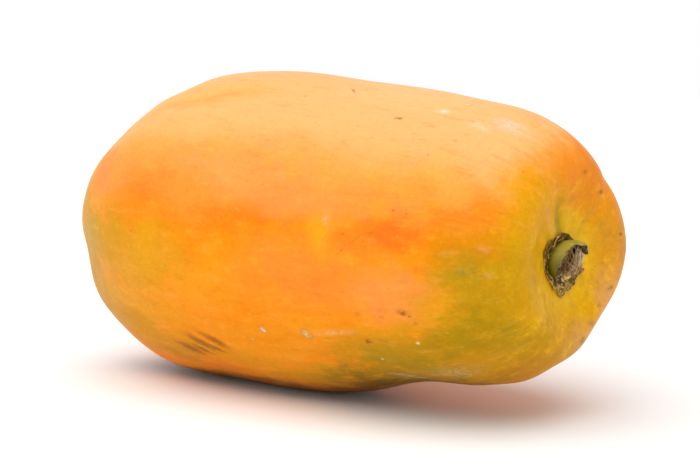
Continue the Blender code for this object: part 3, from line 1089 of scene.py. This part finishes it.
def pithMaterial():
    finish = pithFinish
    material, place = newMaterial("shredded stem heart")
    raised = place.attribute("raised") + (place.cloud(0.0006, 4.0, 0.7) - 0.5) * 0.8
    # dark in the hollows between strands is painted shade; paler on raised strands is partly the flesh's
    # own tone, partly painted highlight
    color = raised.fade(0.25, 0.55).colors(finish["holeShade"], finish["flesh"])
    color = color.cover(raised.fade(0.60, 0.90), finish["pale"])
    # painted shade of the green wall
    color = color.cover(wallShadeSide(place) * 0.75, finish["holeShade"])
    return surface(material, color, finish)


fibreFinish = {
    "brown": "#6A4420",
    "tan": "#B8905A",
    "pale": "#E4D2A4",
    "roughness": 0.6,
    "specular": 0.2,
}


def fibreMaterial():
    finish = fibreFinish
    material, place = newMaterial("torn stem fibre")
    paleness = place.attribute("paleness") + (place.cloud(0.0009, 3.0, 0.6) - 0.5) * 0.7
    color = paleness.fade(0.05, 0.50).colors(finish["brown"], finish["tan"])
    color = color.cover(paleness.fade(0.50, 0.95), finish["pale"])
    # painted shade of the green wall on the strands beside it
    color = color.cover(wallShadeSide(place) * 0.55, finish["brown"])
    return surface(material, color, finish)


crumbFinish = {
    "cream": "#DCC47E",
    "yellow": "#C0A040",
    "brown": "#8A6228",
    "roughness": 0.7,
    "specular": 0.2,
}


def crumbMaterial():
    finish = crumbFinish
    material, place = newMaterial("dry latex crumb")
    grain = place.cloud(0.0010, 3.0, 0.6)
    color = grain.fade(0.30, 0.55).colors(finish["yellow"], finish["cream"])
    color = color.cover(place.cloud(0.0013, 3.0, 0.6, seed=4.0).fade(0.55, 0.72), finish["brown"])
    return surface(material, color, finish)


beadFinish = {
    "amber": "#AC6400",
    "dark": "#6E3A00",
    "roughness": 0.38,
}


def beadMaterial():
    finish = beadFinish
    material, place = newMaterial("amber dried sap")
    cloudy = place.cloud(0.0014, 3.0, 0.55)
    color = cloudy.fade(0.35, 0.70).colors(finish["amber"], finish["dark"])
    feed(material, {"Base Color": color, "Roughness": finish["roughness"], "Subsurface Weight": 0.15})
    return feed(material, {"Subsurface Radius": (0.002, 0.0009, 0.0003), "Subsurface Scale": 1.0})


calyxFinish = {
    "brown": "#84621E",
    "dark": "#3E2C0A",
    "pink": "#A2763C",
    "edge": "#C8A45E",
    "low": "#C4A654",
    "roughness": 0.75,
    "specular": 0.15,
}


def calyxMaterial():
    finish = calyxFinish
    material, place = newMaterial("dry calyx paper")
    toEdge = place.attribute("toEdge")
    grain = place.cloud(0.0009, 4.0, 0.65)
    broad = place.cloud(0.0045, 3.0, 0.6, seed=6.0)
    color = grain.fade(0.34, 0.62).colors(finish["dark"], finish["brown"])
    color = color.cover(broad.fade(0.50, 0.66) * 0.7, finish["pink"])
    low = place.part(2).fade(stemMiddle.z - 0.005, stemMiddle.z - 0.010)
    color = color.cover((low * grain).fade(0.30, 0.60) * 0.75, finish["low"])
    # darker at the inner rim beside the stub and down each sepal's sunken middle: painted shade
    color = color.cover(toEdge.fade(0.35, 0.05) * 0.7, finish["dark"])
    color = color.cover((toEdge + broad * 0.9).fade(1.35, 1.50), finish["edge"])
    return surface(material, color, finish)


studio = {
    "floorSize": 8,
    "card": {"roughness": 0.9, "specular": 0.1},
    "azimuth": 40.0,
    "elevation": 6.3,
    "distance": 0.703,
    "lens": 85.0,
    "sensor": 36.0,
    "target": (0.0093, 0.0, 0.0678),
    "walls": 1.0,
    "ceiling": 0.45,
    "softboxStrength": 2.6,
    "softboxSpread": 80.0,
    "softboxFrom": (0.0, -0.35, 1.0),
}


def makeStudio():
    clearSelection()
    bpy.ops.mesh.primitive_plane_add(size=studio["floorSize"])
    floor = bpy.context.object
    floor.name = "floor"
    card, place = newMaterial("white card")
    white = place.cloud(0.5, 1.0).colors("#F4F4F4", "#F6F6F6")
    floor.data.materials.append(surface(card, white, studio["card"]))

    # white walls round the horizon, a dimmer ceiling
    world = bpy.data.worlds.new("soft white room")
    world.use_nodes = True
    tree = world.node_tree
    background = tree.nodes["Background"]
    background.inputs["Color"].default_value = (1, 1, 1, 1)
    way = Wire(tree, tree.nodes.new("ShaderNodeTexCoord").outputs["Generated"])
    level = way.part(2).fade(0.55, 0.16) * (studio["walls"] - studio["ceiling"]) + studio["ceiling"]
    tree.links.new(level.socket, background.inputs["Strength"])
    bpy.context.scene.world = world

    sun = bpy.data.lights.new("big softbox", "SUN")
    sun.energy = studio["softboxStrength"]
    sun.angle = radians(studio["softboxSpread"])
    holder = bpy.data.objects.new("big softbox", sun)
    addToScene(holder)
    holder.rotation_euler = (-Vector(studio["softboxFrom"])).to_track_quat("-Z", "Y").to_euler()

    turn, rise = radians(studio["azimuth"]), radians(studio["elevation"])
    back = Vector((sin(turn) * cos(rise), -cos(turn) * cos(rise), sin(rise)))
    camera = bpy.data.objects.new("camera", bpy.data.cameras.new("camera"))
    addToScene(camera)
    camera.data.lens = studio["lens"]
    camera.data.sensor_width = studio["sensor"]
    camera.location = Vector(studio["target"]) + back * studio["distance"]
    camera.rotation_euler = (-back).to_track_quat("-Z", "Y").to_euler()
    bpy.context.scene.camera = camera
    bpy.context.scene.view_settings.view_transform = "Standard"


makeStudio()
say("floor, lights and camera are up")
skin = makeFruit()
say(f"fruit has {len(skin.data.polygons)} faces")
skin.data.materials.append(skinMaterial())
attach(skin, "root")
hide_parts("fruit")

for maker, material, node, slot in (
    (makeStemWall, stemMaterial, "stem_stub", "stem"),
    (makePith, pithMaterial, "stem_stub", "stem"),
    (makeFibres, fibreMaterial, "stem_stub", "stem"),
    (makeCrumbs, crumbMaterial, "stem_stub", "stem"),
    (makeSapBead, beadMaterial, "calyx", "dry_calyx"),
    (makeCalyx, calyxMaterial, "calyx", "dry_calyx"),
):
    piece = maker()
    piece.data.materials.clear()
    piece.data.materials.append(material())
    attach(piece, "root")
    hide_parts(node)
    say(f"{piece.name} has {len(piece.data.polygons)} faces")

clearSelection()
